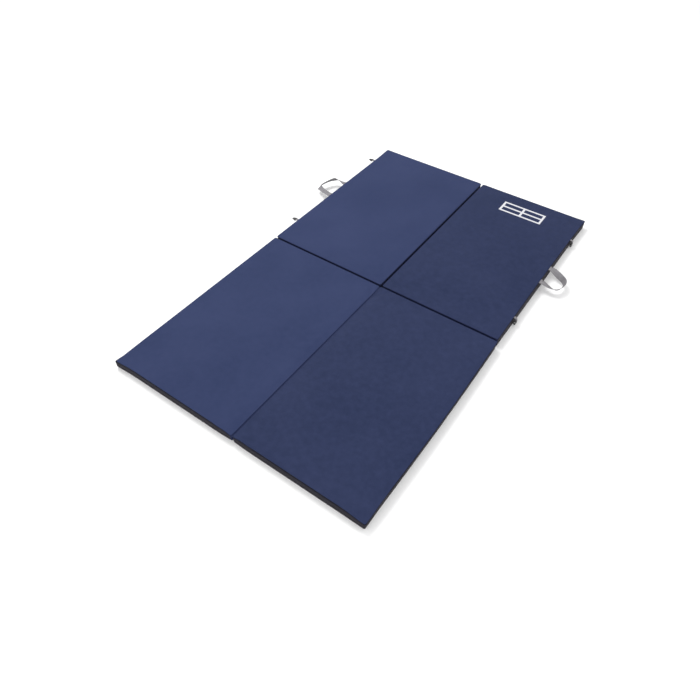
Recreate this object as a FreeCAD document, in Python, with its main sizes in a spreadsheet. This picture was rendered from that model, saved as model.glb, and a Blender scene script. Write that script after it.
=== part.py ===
import FreeCAD, Part

import os

import Sketcher

# Folding gym mat, open and lying flat. Four padded panels, two rows of two.
# +X runs across the mat, +Y along it, +Z up. The origin is on the floor at the mat's centre.
# Each cross crease is hinged along the bottom, and the near part of the long crease along the top.
# The far part of the long crease is open, so each far panel folds under its own near panel.

doc = FreeCAD.newDocument("folding_gym_mat")

# ---------------------------------------------------------------- driving dimensions, in mm
DIMENSIONS = [
    ("mat_width", 1000, "across both panels"),
    ("mat_length", 1680, "along both panels"),
    ("mat_thickness", 38, "floor to top cover"),
    ("left_width", 513.5, "left side to the long crease"),
    ("near_length", 825.5, "near side to the cross creases"),
    ("crease_gap", 5, "between two panels' walls"),
    ("cover_skin", 1, "thickness of each cover"),
    ("foam_room", 0.1, "between foam and cover"),
    ("corner_radius", 5, "panel corners seen from above"),
    ("edge_radius", 2.2, "rounding of the top cover's edge"),
    ("seam_height", 35.5, "floor to the seam that holds the webbing"),
    ("piping_reach", 0.85, "how far the piping stands out of the wall"),
    ("piping_height", 1.7, "height of the piping"),
    ("piping_room", 0.05, "between piping and wall"),
    ("strip_skin", 0.8, "thickness of the hinge strips"),
    ("strip_room", 0.3, "between a hinge strip and a panel"),
    ("valley_depth", 3, "depth of the near hinge strip's valley"),
    ("valley_width", 5.8, "width of the near hinge strip's valley"),
    ("handle_reach", 95, "panel wall to the handle's tip when it lies level"),
    ("handle_left_span", 113, "between the middles of the left handle's legs"),
    ("handle_right_span", 94, "between the middles of the right handle's legs"),
    ("handle_left_y", 419.5, "middle of the left handle"),
    ("handle_right_y", 413, "middle of the right handle"),
    ("handle_webbing", 25, "width of the handle webbing"),
    ("handle_thickness", 2, "thickness of the handle webbing"),
    ("handle_start", 2.6, "panel wall to the handle's hinged end"),
    ("handle_bend", 20, "outer radius of the handle's bends"),
    ("handle_droop", 13, "how far the handle hangs below level, in degrees"),
    ("sewn_end_start", 0.95, "panel wall to the sewn webbing end"),
    ("sewn_end_reach", 0.75, "length of the sewn webbing end outside the seam"),
    ("tab_left_near_y", 131, "middle of the near tab on the left"),
    ("tab_left_far_y", 720, "middle of the far tab on the left"),
    ("tab_right_near_y", 127, "middle of the near tab on the right"),
    ("tab_right_far_y", 681, "middle of the far tab on the right"),
    ("tab_webbing", 10, "width of the tab webbing"),
    ("tab_thickness", 1.2, "thickness of the tab webbing"),
    ("tab_left_reach", 11.5, "panel wall to the bar of the left buckle halves"),
    ("tab_right_reach", 4.8, "panel wall to the bar of the right buckle halves"),
    ("tab_right_drop", 9.5, "seam down to the bar of the right buckle halves"),
    ("bar_radius", 1.2, "buckle bar"),
    ("bar_room", 0.4, "between the bar and the tab's loop"),
    ("buckle_height", 7.4, "thickness of the socket half"),
    ("buckle_width", 16, "width of the socket half"),
    ("buckle_body", 14, "length of the socket half without its arms"),
    ("buckle_arm", 2, "width of the arms that hold the bar"),
    ("socket_width", 11.4, "width of the socket's mouth"),
    ("socket_height", 4.6, "height of the socket's mouth"),
    ("socket_depth", 11, "depth of the socket"),
    ("prong_length", 9, "length of the plug half's prongs"),
    ("prong_width", 1.8, "width of each prong"),
    ("prong_height", 3.6, "height of the prongs"),
    ("plug_body", 5, "length of the plug half's body"),
    ("mark_width", 190, "printed mark across the mat"),
    ("mark_height", 72, "printed mark along the mat"),
    ("mark_line", 9, "width of the printed lines"),
    ("mark_skin", 0.2, "thickness of the print"),
    ("mark_side", 150, "right side of the mat to the print"),
    ("mark_far", 66, "far side of the mat to the print"),
]

sheet = doc.addObject("Spreadsheet::Sheet", "dims")
for row, (alias, value, note) in enumerate(DIMENSIONS, start=1):
    sheet.set(f"A{row}", note)
    sheet.set(f"B{row}", str(value))
    sheet.setAlias(f"B{row}", alias)
doc.recompute()

ALIASES = sorted((alias for alias, _, _ in DIMENSIONS), key=len, reverse=True)


def bound(text):
    """An expression with each dimension's name pointed at its cell in the sheet."""
    for alias in ALIASES:
        text = text.replace(f"[{alias}]", f"dims.{alias}")
    return text


def bind(thing, path, text):
    """Drive one property by an expression, and give it its value at once."""
    thing.setExpression(path, bound(text))


def place(piece, x, y, z):
    """Drive the position of a sub-part."""
    bind(piece, ".Placement.Base.x", x)
    bind(piece, ".Placement.Base.y", y)
    bind(piece, ".Placement.Base.z", z)


# ---------------------------------------------------------------- sketch and feature helpers
def new_body(label):
    body = doc.addObject("PartDesign::Body", label)
    body.Label = label
    return body


def new_sketch(body, name, role="XY_Plane"):
    """An empty sketch on one of the body's own origin planes."""
    sketch = body.newObject("Sketcher::SketchObject", name)
    plane = [f for f in body.Origin.OriginFeatures if f.Role == role][0]
    sketch.AttachmentSupport = [(plane, "")]
    sketch.MapMode = "FlatFace"
    return sketch


def rectangle(sketch, low_x, low_y, size_x, size_y):
    """A rectangle whose low corner and size are driven. A low corner of None is the sketch's origin."""
    first = sketch.GeometryCount
    corners = [(1, 1), (9, 1), (9, 9), (1, 9)]
    points = [FreeCAD.Vector(x, y, 0) for x, y in corners]
    for start in range(4):
        sketch.addGeometry(Part.LineSegment(points[start], points[(start + 1) % 4]), False)
    constraint = Sketcher.Constraint
    for side in range(4):
        sketch.addConstraint(constraint("Coincident", first + side, 2, first + (side + 1) % 4, 1))
    sketch.addConstraint(constraint("Horizontal", first))
    sketch.addConstraint(constraint("Vertical", first + 1))
    sketch.addConstraint(constraint("Horizontal", first + 2))
    sketch.addConstraint(constraint("Vertical", first + 3))
    driven = [("DistanceX", first, 1, first, 2, size_x), ("DistanceY", first + 1, 1, first + 1, 2, size_y)]
    if low_x is None:
        sketch.addConstraint(constraint("Coincident", -1, 1, first, 1))
    else:
        driven.append(("DistanceX", -1, 1, first, 1, low_x))
        driven.append(("DistanceY", -1, 1, first, 1, low_y))
    for kind, geo1, pos1, geo2, pos2, text in driven:
        index = sketch.addConstraint(constraint(kind, geo1, pos1, geo2, pos2, 5.0))
        sketch.setExpression(f"Constraints[{index}]", bound(text))


def outline(sketch, points):
    """A closed outline of straight lines, each corner's two coordinates driven from the origin."""
    first = sketch.GeometryCount
    constraint = Sketcher.Constraint
    count = len(points)
    spots = [FreeCAD.Vector(number * 3.0 + 1, (number * number) % 7 + 1.0, 0) for number in range(count)]
    for side in range(count):
        sketch.addGeometry(Part.LineSegment(spots[side], spots[(side + 1) % count]), False)
    for side in range(count):
        sketch.addConstraint(constraint("Coincident", first + side, 2, first + (side + 1) % count, 1))
    for side, (x, y) in enumerate(points):
        for kind, text in (("DistanceX", x), ("DistanceY", y)):
            index = sketch.addConstraint(constraint(kind, -1, 1, first + side, 1, 5.0))
            sketch.setExpression(f"Constraints[{index}]", bound(text))


def pad(body, sketch, length, name="Pad", both_ways=False):
    feature = body.newObject("PartDesign::Pad", name)
    feature.Profile = sketch
    bind(feature, "Length", length)
    feature.Midplane = both_ways
    doc.recompute()
    return feature


def pocket(body, sketch, length, name="Pocket", both_ways=False, reverse=False):
    feature = body.newObject("PartDesign::Pocket", name)
    feature.Profile = sketch
    bind(feature, "Length", length)
    feature.Midplane = both_ways
    feature.Reversed = reverse
    doc.recompute()
    return feature


def fillet(body, base, wanted, radius, name):
    """Round the edges of a feature that a test picks out."""
    names = [f"Edge{n}" for n, edge in enumerate(base.Shape.Edges, start=1) if wanted(edge)]
    feature = body.newObject("PartDesign::Fillet", name)
    feature.Base = (base, names)
    bind(feature, "Radius", radius)
    doc.recompute()
    return feature


def is_upright(edge):
    first, last = edge.Vertexes[0].Point, edge.Vertexes[-1].Point
    return abs(first.z - last.z) > 0.1 and abs(first.x - last.x) + abs(first.y - last.y) < 1e-6


def at_height(height):
    """A test for edges that lie level at one height of the body."""
    def test(edge):
        box = edge.BoundBox
        return abs(box.ZMin - height) < 1e-6 and abs(box.ZMax - height) < 1e-6
    return test


# ---------------------------------------------------------------- panels
SIDES = {
    "left": ("-[mat_width] / 2", "([left_width] - [crease_gap] / 2)"),
    "right": (
        "-[mat_width] / 2 + [left_width] + [crease_gap] / 2",
        "([mat_width] - [left_width] - [crease_gap] / 2)",
    ),
}
ROWS = {
    "near": ("-[mat_length] / 2", "([near_length] - [crease_gap] / 2)"),
    "far": (
        "-[mat_length] / 2 + [near_length] + [crease_gap] / 2",
        "([mat_length] - [near_length] - [crease_gap] / 2)",
    ),
}


def panel_block(label, row, side, inset, low_z, height):
    """A body with one pad that fills a panel's outline, less an inset."""
    low_x, size_x = SIDES[side]
    low_y, size_y = ROWS[row]
    body = new_body(label)
    sketch = new_sketch(body, "outline")
    rectangle(sketch, None, None, f"{size_x} - 2 * ({inset})", f"{size_y} - 2 * ({inset})")
    block = pad(body, sketch, height)
    place(body, f"{low_x} + ({inset})", f"{low_y} + ({inset})", low_z)
    return body, block


def round_corners(body, base, inset):
    """Round the four outer upright corners of a panel block."""
    box = base.Shape.BoundBox

    def outer_corner(edge):
        point = edge.Vertexes[0].Point
        from_side = min(point.x - box.XMin, box.XMax - point.x)
        from_end = min(point.y - box.YMin, box.YMax - point.y)
        return is_upright(edge) and from_side < 1e-6 and from_end < 1e-6

    return fillet(body, base, outer_corner, f"[corner_radius] - ({inset})", "corners")


def hollow_out(body, block, row, side, low, extra, depth, radius):
    """Cut the middle out of a panel block, from the underside, and round the cut's upright corners."""
    size_x, size_y = SIDES[side][1], ROWS[row][1]
    sketch = new_sketch(body, "hollow")
    rectangle(sketch, low, low, f"{size_x} + ({extra})", f"{size_y} + ({extra})")
    cut = pocket(body, sketch, depth, "hollow_cut", reverse=True)
    box = block.Shape.BoundBox

    def inner_corner(edge):
        point = edge.Vertexes[0].Point
        from_side = min(point.x - box.XMin, box.XMax - point.x)
        return is_upright(edge) and from_side > 0.1

    return fillet(body, cut, inner_corner, radius, "hollow_corners")


def cover_hollow(body, block, row, side, depth):
    """Hollow a panel block out to the covers' thickness, then round its outer corners."""
    radius = "[corner_radius] - [cover_skin]"
    cut = hollow_out(body, block, row, side, "[cover_skin]", "-2 * [cover_skin]", depth, radius)
    return round_corners(body, cut, "0")


def foam_core(row, side):
    inset = "[cover_skin] + [foam_room]"
    height = "[mat_thickness] - 2 * ([cover_skin] + [foam_room])"
    body, block = panel_block(f"panel_{row}_{side}_foam", row, side, inset, inset, height)
    rounded = round_corners(body, block, inset)
    top = block.Shape.BoundBox.ZMax
    fillet(body, rounded, at_height(top), "[edge_radius] - [cover_skin]", "top_edge")
    return body


def top_cover(row, side):
    """A tray of fabric, open below, with a rounded top edge inside and out."""
    label = f"panel_{row}_{side}_top_cover"
    height = "[mat_thickness] - [seam_height]"
    body, block = panel_block(label, row, side, "0", "[seam_height]", height)
    hollow = cover_hollow(body, block, row, side, f"{height} - [cover_skin]")
    ceiling = float(sheet.mat_thickness - sheet.seam_height - sheet.cover_skin)
    inner = fillet(body, hollow, at_height(ceiling), "[edge_radius] - [cover_skin]", "inner_edge")
    top = inner.Shape.BoundBox.ZMax
    fillet(body, inner, at_height(top), "[edge_radius]", "top_edge")
    return body


def side_wall(row, side):
    label = f"panel_{row}_{side}_side_wall"
    height = "[seam_height] - [cover_skin]"
    body, block = panel_block(label, row, side, "0", "[cover_skin]", height)
    cover_hollow(body, block, row, side, height)
    return body


def bottom_cover(row, side):
    label = f"panel_{row}_{side}_bottom_cover"
    body, block = panel_block(label, row, side, "0", "0", "[cover_skin]")
    round_corners(body, block, "0")
    return body


def edge_piping(row, side):
    """A cord sewn into the seam all round the panel."""
    label = f"panel_{row}_{side}_piping"
    low_z = "[seam_height] - [piping_height] / 2"
    outset = "-([piping_reach] + [piping_room])"
    body, block = panel_block(label, row, side, outset, low_z, "[piping_height]")
    radius = "[corner_radius] + [piping_room]"
    room = "2 * [piping_room]"
    cut = hollow_out(body, block, row, side, "[piping_reach]", room, "[piping_height]", radius)
    round_corners(body, cut, outset)
    return body


# ---------------------------------------------------------------- hinge strips
def bottom_strip(side):
    """The seam fabric between a near panel's bottom and its far panel's."""
    low_x, size_x = SIDES[side]
    body = new_body(f"hinge_strip_cross_{side}")
    sketch = new_sketch(body, "outline")
    end = "[corner_radius]"
    width = "[crease_gap] - [strip_room] - 0.1"
    rectangle(sketch, None, None, f"{size_x} - 2 * {end}", width)
    pad(body, sketch, "[strip_skin]")
    low_y = "-[mat_length] / 2 + [near_length] - [crease_gap] / 2 + 0.1"
    place(body, f"{low_x} + {end}", low_y, "0")
    return body


def near_strip():
    """The top fabric's shallow valley over the near part of the long crease."""
    body = new_body("hinge_strip_near")
    sketch = new_sketch(body, "valley", "XZ_Plane")
    half = "[valley_width] / 2"
    outline(
        sketch,
        [
            ("0.01", "[valley_depth]"),
            (half, "0.01"),
            ("[valley_width]", "[valley_depth]"),
            ("[valley_width]", "[valley_depth] + [strip_skin] / 3"),
            (half, "[strip_skin]"),
            ("0.01", "[valley_depth] + [strip_skin] / 3"),
        ],
    )
    length = "[near_length] - [crease_gap] / 2 - 2 * [corner_radius]"
    feature = pad(body, sketch, length)
    feature.Reversed = True
    middle = "-[mat_width] / 2 + [left_width] - [valley_width] / 2"
    low_z = "[mat_thickness] - [valley_depth] - [strip_skin] / 3 - 0.02"
    place(body, middle, "-[mat_length] / 2 + [corner_radius]", low_z)
    return body


# ---------------------------------------------------------------- handles and tabs
LOOP = "([bar_radius] + [bar_room] + [tab_thickness])"


def turned(piece, side, tilt=0.0):
    """Pieces are drawn for the left side, reaching along -X, and turned half round for the right.
    A tilt lowers the outer end by that many degrees first."""
    angle = 0 if side == "left" else 180
    about_z = FreeCAD.Rotation(FreeCAD.Vector(0, 0, 1), angle)
    about_y = FreeCAD.Rotation(FreeCAD.Vector(0, 1, 0), -tilt)
    piece.Placement = FreeCAD.Placement(FreeCAD.Vector(0, 0, 0), about_z * about_y)
    return "-[mat_width] / 2" if side == "left" else "[mat_width] / 2"


def handle(side):
    """A U of flat webbing. Its legs' rounded ends are where it hinges at the seam."""
    body = new_body(f"handle_{side}")
    outer = new_sketch(body, "outside")
    length = "[handle_reach] - [handle_start]"
    span = f"[handle_{side}_span]"
    rectangle(outer, None, None, length, f"{span} + [handle_webbing]")
    block = pad(body, outer, "[handle_thickness]")
    inner = new_sketch(body, "hand_gap")
    rectangle(inner, "[handle_webbing]", "[handle_webbing]", length, f"{span} - [handle_webbing]")
    gap = pocket(body, inner, "[handle_thickness]", "hand_gap_cut", reverse=True)
    reach = float(block.Shape.BoundBox.XMax)

    def tip_corner(edge):
        return is_upright(edge) and edge.Vertexes[0].Point.x < 1e-6

    def inner_corner(edge):
        x = edge.Vertexes[0].Point.x
        return is_upright(edge) and 1e-6 < x < reach - 1e-6

    def leg_end(edge):
        points = [vertex.Point for vertex in edge.Vertexes]
        level = abs(points[0].z - points[-1].z) < 1e-6
        return level and all(abs(point.x - reach) < 1e-6 for point in points)

    bend = fillet(body, gap, tip_corner, "[handle_bend]", "outer_bends")
    bend = fillet(body, bend, inner_corner, "[handle_bend] / 3", "inner_bends")
    fillet(body, bend, leg_end, "[handle_thickness] / 2 - 0.02", "hinged_ends")
    edge = turned(body, side, float(sheet.handle_droop))
    sign = "-" if side == "left" else "+"
    leg = f"({length} - [handle_thickness] / 2)"
    hinge_out = "[handle_start] + [handle_thickness] / 2"
    inward = f"({leg} * cos([handle_droop]) - [handle_thickness] / 2 * sin([handle_droop]))"
    drop = f"({leg} * sin([handle_droop]) + [handle_thickness] / 2 * cos([handle_droop]))"
    place(
        body,
        f"{edge} {sign} ({hinge_out} + {inward})",
        f"[handle_{side}_y] {sign} ({span} + [handle_webbing]) / 2",
        f"[seam_height] - {drop}",
    )
    return body


def sewn_end(side, end):
    """The short end of handle webbing that comes out of the seam."""
    body = new_body(f"handle_{side}_sewn_end_{end}")
    sketch = new_sketch(body, "outline")
    rectangle(sketch, None, None, "[sewn_end_reach]", "[handle_webbing]")
    pad(body, sketch, "[handle_thickness]")
    low_x = (
        "-[mat_width] / 2 - [sewn_end_start] - [sewn_end_reach]"
        if side == "left"
        else "[mat_width] / 2 + [sewn_end_start]"
    )
    sign = "-" if end == "near" else "+"
    low_y = f"[handle_{side}_y] {sign} [handle_{side}_span] / 2 - [handle_webbing] / 2"
    place(body, low_x, low_y, "[seam_height] - [handle_thickness] / 2")
    return body


def box_at(name, size, low):
    """A plain box with its size and low corner driven."""
    box = doc.addObject("Part::Box", name)
    for key, text in zip(("Length", "Width", "Height"), size):
        bind(box, key, text)
    place(box, *low)
    return box


def joined(name, pieces):
    whole = doc.addObject("Part::MultiFuse", name)
    whole.Shapes = pieces
    whole.Refine = True
    doc.recompute()
    return whole


def rod(name, radius, length):
    """A round bar along Y with its middle at the origin."""
    piece = doc.addObject("Part::Cylinder", name)
    bind(piece, "Radius", radius)
    bind(piece, "Height", length)
    along_y = FreeCAD.Rotation(FreeCAD.Vector(1, 0, 0), -90)
    piece.Placement = FreeCAD.Placement(FreeCAD.Vector(0, 0, 0), along_y)
    place(piece, "0", f"-{length} / 2", "0")
    return piece


def difference(label, base, tool):
    cut = doc.addObject("Part::Cut", label)
    cut.Base = base
    cut.Tool = tool
    cut.Label = label
    return cut


def bar_spot(side):
    """How far a side's buckle bars are out from the wall, and how far below the seam."""
    if side == "left":
        return "[tab_left_reach]", f"({LOOP} - [tab_thickness] / 2)"
    return "[tab_right_reach]", "[tab_right_drop]"


def put_at_bar(piece, side, end, tilt=0.0):
    """Put a tab or a buckle half, drawn round its bar, at its place beside the mat."""
    edge = turned(piece, side, tilt)
    sign = "-" if side == "left" else "+"
    reach, drop = bar_spot(side)
    place(piece, f"{edge} {sign} {reach}", f"[tab_{side}_{end}_y]", f"[seam_height] - {drop}")


def tab(side, end):
    """A short strap from the seam with a closed loop round the buckle's bar.
    The left ones lie level and the right ones turn down beside the wall."""
    label = f"tab_{side}_{end}"
    reach, drop = bar_spot(side)
    low_y = "-[tab_webbing] / 2"
    pieces = [rod(f"{label}_loop", LOOP, "[tab_webbing]")]
    outer_end = "0" if side == "left" else LOOP
    size = (f"{reach} + {outer_end} - [sewn_end_start]", "[tab_webbing]", "[tab_thickness]")
    low = (f"-{outer_end}", low_y, f"{drop} - [tab_thickness] / 2")
    pieces.append(box_at(f"{label}_level_strap", size, low))
    if side == "right":
        size = ("[tab_thickness]", "[tab_webbing]", f"{drop} + [tab_thickness] / 2")
        pieces.append(box_at(f"{label}_hanging_strap", size, (f"-{LOOP}", low_y, "0")))
    hole = rod(f"{label}_hole", "[bar_radius] + [bar_room]", "([tab_webbing] + 2)")
    strap = difference(label, joined(f"{label}_strap", pieces), hole)
    put_at_bar(strap, side, end)
    return strap


def buckle_frame(body, length, width, height):
    """The block with a bar between two arms that both buckle halves start from."""
    start = f"({LOOP} + 0.6)"
    size = (length, width, height)
    pieces = [box_at(f"{body}_block", size, (f"-{start} - {length}", f"-{width} / 2", f"-{height} / 2"))]
    for number, low_y in enumerate((f"-{width} / 2", f"{width} / 2 - [buckle_arm]")):
        size = (f"{start} + [bar_radius] + 1", "[buckle_arm]", "2 * [bar_radius] + 2")
        pieces.append(box_at(f"{body}_arm_{number}", size, (f"-{start}", low_y, "-[bar_radius] - 1")))
    pieces.append(rod(f"{body}_bar", "[bar_radius]", f"({width} - [buckle_arm])"))
    return pieces, start


def socket_half(side, end):
    """The half of the buckle that the prongs go into, with a slot in each side for them."""
    label = f"buckle_socket_{side}_{end}"
    pieces, start = buckle_frame(label, "[buckle_body]", "[buckle_width]", "[buckle_height]")
    solid = joined(f"{label}_solid", pieces)
    mouth = box_at(
        f"{label}_mouth",
        ("[socket_depth] + 1", "[socket_width]", "[socket_height]"),
        (f"-{start} - [buckle_body] - 1", "-[socket_width] / 2", "-[socket_height] / 2"),
    )
    slots = box_at(
        f"{label}_slots",
        ("[socket_depth] / 2", "[buckle_width] + 2", "[socket_height]"),
        (f"-{start} - [socket_depth] * 0.7", "-[buckle_width] / 2 - 1", "-[socket_height] / 2"),
    )
    hanging = difference(label, solid, joined(f"{label}_hollow", [mouth, slots]))
    put_at_bar(hanging, side, end, tilt=90.0)
    return hanging


def plug_half(side, end):
    """The half of the buckle with two prongs and a middle guide."""
    label = f"buckle_plug_{side}_{end}"
    width = "([buckle_width] - 1)"
    height = "([buckle_height] - 1.5)"
    pieces, start = buckle_frame(label, "[plug_body]", width, height)
    tip = f"-{start} - [plug_body] - [prong_length]"
    size = ("[prong_length] + 0.5", "[prong_width]", "[prong_height]")
    edges = (
        "-[socket_width] / 2 + 0.4",
        "[socket_width] / 2 - 0.4 - [prong_width]",
        "-[prong_width] / 2",
    )
    for number, low_y in enumerate(edges):
        low = (tip, low_y, "-[prong_height] / 2")
        pieces.append(box_at(f"{label}_prong_{number}", size, low))
    whole = joined(label, pieces)
    whole.Label = label
    put_at_bar(whole, side, end)
    return whole


# ---------------------------------------------------------------- printed mark
def printed_mark():
    """A plain drawing of a mat in four parts, printed near the far right corner."""
    body = new_body("printed_mark")
    frame_sketch = new_sketch(body, "frame")
    rectangle(frame_sketch, None, None, "[mark_width]", "[mark_height]")
    pad(body, frame_sketch, "[mark_skin]")
    columns = "([mark_width] - 3 * [mark_line]) / 2"
    rows = "([mark_height] - 3 * [mark_line]) / 2"
    for column in range(2):
        for row in range(2):
            window = new_sketch(body, f"window_{column}_{row}")
            low_x = f"[mark_line] + {column} * ({columns} + [mark_line])"
            low_y = f"[mark_line] + {row} * ({rows} + [mark_line])"
            rectangle(window, low_x, low_y, columns, rows)
            pocket(body, window, "[mark_skin]", f"window_{column}_{row}_cut", reverse=True)
    low_x = "[mat_width] / 2 - [mark_side] - [mark_width]"
    low_y = "[mat_length] / 2 - [mark_far] - [mark_height]"
    place(body, low_x, low_y, "[mat_thickness] + 0.02")
    return body


# ---------------------------------------------------------------- the mat
nodes = []
for row in ("near", "far"):
    for side in ("left", "right"):
        nodes.append(foam_core(row, side))
        nodes.append(top_cover(row, side))
        nodes.append(side_wall(row, side))
        nodes.append(bottom_cover(row, side))
        nodes.append(edge_piping(row, side))
for side in ("left", "right"):
    nodes.append(bottom_strip(side))
nodes.append(near_strip())
nodes.append(printed_mark())
for side in ("left", "right"):
    nodes.append(handle(side))
    for end in ("near", "far"):
        nodes.append(sewn_end(side, end))
        nodes.append(tab(side, end))
for end in ("near", "far"):
    nodes.append(plug_half("left", end))
    nodes.append(socket_half("right", end))

doc.recompute()

# ---------------------------------------------------------------- write the parts
for thing in doc.Objects:
    if "Invalid" in thing.State or "Error" in thing.State:
        raise RuntimeError(f"{thing.Label} did not recompute: {thing.State}")

os.makedirs("parts", exist_ok=True)
for node in nodes:
    shape = node.Shape
    if shape.isNull() or not shape.isValid():
        raise RuntimeError(f"{node.Label} has no valid shape")
    if len(shape.Solids) != 1:
        raise RuntimeError(f"{node.Label} has {len(shape.Solids)} solids, not one")
    shape.exportStep(f"parts/{node.Label}.step")
print(f"{len(nodes)} parts written")
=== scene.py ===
import math

import bpy
import numpy as np
from mathutils import Matrix, Vector, noise


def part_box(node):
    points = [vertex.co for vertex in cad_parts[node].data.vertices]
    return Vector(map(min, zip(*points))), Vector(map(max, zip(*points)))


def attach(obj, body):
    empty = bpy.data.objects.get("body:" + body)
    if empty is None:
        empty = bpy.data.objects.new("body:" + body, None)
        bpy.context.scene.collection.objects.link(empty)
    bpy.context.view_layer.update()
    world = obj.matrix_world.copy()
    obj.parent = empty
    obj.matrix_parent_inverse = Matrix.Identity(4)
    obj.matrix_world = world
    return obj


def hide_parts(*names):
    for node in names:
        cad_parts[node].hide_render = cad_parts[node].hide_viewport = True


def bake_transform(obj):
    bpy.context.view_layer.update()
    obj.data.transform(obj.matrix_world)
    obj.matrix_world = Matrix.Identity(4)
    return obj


# Folding gym mat, open on a pale floor. Metres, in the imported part's frame.
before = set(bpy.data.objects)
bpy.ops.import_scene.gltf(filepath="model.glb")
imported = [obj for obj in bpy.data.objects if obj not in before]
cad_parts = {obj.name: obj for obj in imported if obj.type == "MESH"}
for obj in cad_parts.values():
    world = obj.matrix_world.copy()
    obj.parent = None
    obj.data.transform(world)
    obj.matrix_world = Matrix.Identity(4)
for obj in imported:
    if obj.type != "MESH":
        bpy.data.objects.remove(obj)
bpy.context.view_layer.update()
scene = bpy.context.scene
MM = 0.001
CROSS_CREASE_Y = (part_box("panel_near_left_foam")[1].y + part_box("panel_far_left_foam")[0].y) / 2
LONG_CREASE_X = (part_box("panel_near_left_foam")[1].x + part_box("panel_near_right_foam")[0].x) / 2

# ---------------------------------------------------------------- camera and light
AZIMUTH, ELEVATION, DISTANCE = 34.369, 48.193, 2.028
TARGET = Vector((0.094, -0.332, 0.013))
FOCAL, ROLL = 30.089, 0.016


def add_camera():
    azimuth, elevation = math.radians(AZIMUTH), math.radians(ELEVATION)
    back = Vector((
        math.sin(azimuth) * math.cos(elevation),
        -math.cos(azimuth) * math.cos(elevation),
        math.sin(elevation),
    ))
    right = Vector((math.cos(azimuth), math.sin(azimuth), 0.0))
    up = back.cross(right)
    rolled_right = right * math.cos(ROLL) + up * math.sin(ROLL)
    rolled_up = up * math.cos(ROLL) - right * math.sin(ROLL)
    data = bpy.data.cameras.new("camera")
    data.sensor_width = 36.0
    data.lens = FOCAL
    data.clip_start = 0.01
    camera = bpy.data.objects.new("camera", data)
    camera.location = TARGET + back * DISTANCE
    camera.rotation_euler = Matrix((rolled_right, rolled_up, back)).transposed().to_euler()
    scene.collection.objects.link(camera)
    scene.camera = camera


def add_light(name, place, aim, size, power, color=(1, 1, 1)):
    data = bpy.data.lights.new(name, "AREA")
    data.shape = "DISK"
    data.size = size
    data.energy = power
    data.color = color
    light = bpy.data.objects.new(name, data)
    light.location = place
    light.rotation_euler = (Vector(place) - Vector(aim)).to_track_quat("Z", "Y").to_euler()
    scene.collection.objects.link(light)


add_camera()
add_light("key", (-2.0, 0.5, 3.3), (-0.1, 0.0, 0.0), 1.6, 74)
add_light("fill", (1.8, -2.6, 3.0), (0.0, -0.2, 0.0), 3.0, 30)

# ---------------------------------------------------------------- node helpers
class Nodes:
    """Short calls for building one material's node tree."""

    def __init__(self, name):
        self.material = bpy.data.materials.new(name)
        self.material.use_nodes = True
        self.tree = self.material.node_tree
        self.shader = self.tree.nodes["Principled BSDF"]
        self.spot = self.tree.nodes.new("ShaderNodeTexCoord")

    def add(self, kind, **settings):
        node = self.tree.nodes.new(kind)
        for key, value in settings.items():
            if hasattr(node, key):
                setattr(node, key, value)
            else:
                node.inputs[key].default_value = value
        return node

    def link(self, a, b):
        self.tree.links.new(a, b)

    def mapped(self, scale, source="Object", turn=(0, 0, 0)):
        node = self.add("ShaderNodeMapping")
        node.inputs["Scale"].default_value = scale
        node.inputs["Rotation"].default_value = turn
        self.link(self.spot.outputs[source], node.inputs["Vector"])
        return node.outputs["Vector"]

    def noise(self, scale, detail=3.0, rough=0.55, vector=None):
        node = self.add("ShaderNodeTexNoise")
        node.inputs["Scale"].default_value = scale
        node.inputs["Detail"].default_value = detail
        node.inputs["Roughness"].default_value = rough
        self.link(vector or self.spot.outputs["Object"], node.inputs["Vector"])
        return node.outputs["Fac"]

    def bands(self, scale, direction, vector=None, warp=0.0):
        node = self.add("ShaderNodeTexWave")
        node.wave_type = "BANDS"
        node.bands_direction = direction
        node.inputs["Scale"].default_value = scale
        node.inputs["Distortion"].default_value = warp
        node.inputs["Detail"].default_value = 1.0
        self.link(vector or self.spot.outputs["Object"], node.inputs["Vector"])
        return node.outputs["Fac"]

    def voronoi(self, scale, feature="F1", vector=None, spread=1.0):
        node = self.add("ShaderNodeTexVoronoi")
        node.feature = feature
        node.inputs["Scale"].default_value = scale
        node.inputs["Randomness"].default_value = spread
        self.link(vector or self.spot.outputs["Object"], node.inputs["Vector"])
        return node.outputs["Distance"]

    def math(self, operation, a, b=0.5):
        node = self.add("ShaderNodeMath")
        node.operation = operation
        for socket, value in zip(node.inputs, (a, b)):
            if isinstance(value, (int, float)):
                socket.default_value = value
            else:
                self.link(value, socket)
        return node.outputs[0]

    def remap(self, value, low, high, to_low, to_high):
        node = self.add("ShaderNodeMapRange")
        for key, number in (("From Min", low), ("From Max", high), ("To Min", to_low), ("To Max", to_high)):
            node.inputs[key].default_value = number
        self.link(value, node.inputs["Value"])
        return node.outputs["Result"]

    def mix(self, factor, a, b):
        node = self.add("ShaderNodeMix")
        node.data_type = "RGBA"
        for socket, value in zip((node.inputs[0], node.inputs[6], node.inputs[7]), (factor, a, b)):
            if isinstance(value, (int, float)):
                socket.default_value = value
            elif isinstance(value, tuple):
                socket.default_value = (*value, 1.0)
            else:
                self.link(value, socket)
        return node.outputs[2]

    def bump(self, height, distance, strength=1.0, normal=None):
        node = self.add("ShaderNodeBump")
        node.inputs["Strength"].default_value = strength
        node.inputs["Distance"].default_value = distance
        self.link(height, node.inputs["Height"])
        if normal is not None:
            self.link(normal, node.inputs["Normal"])
        return node.outputs["Normal"]

    def finish(self, color, roughness, normal=None, **fixed):
        for key, value in fixed.items():
            self.shader.inputs[key.replace("_", " ")].default_value = value
        self.link(color, self.shader.inputs["Base Color"])
        self.link(roughness, self.shader.inputs["Roughness"])
        if normal is not None:
            self.link(normal, self.shader.inputs["Normal"])
        return self.material


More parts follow.
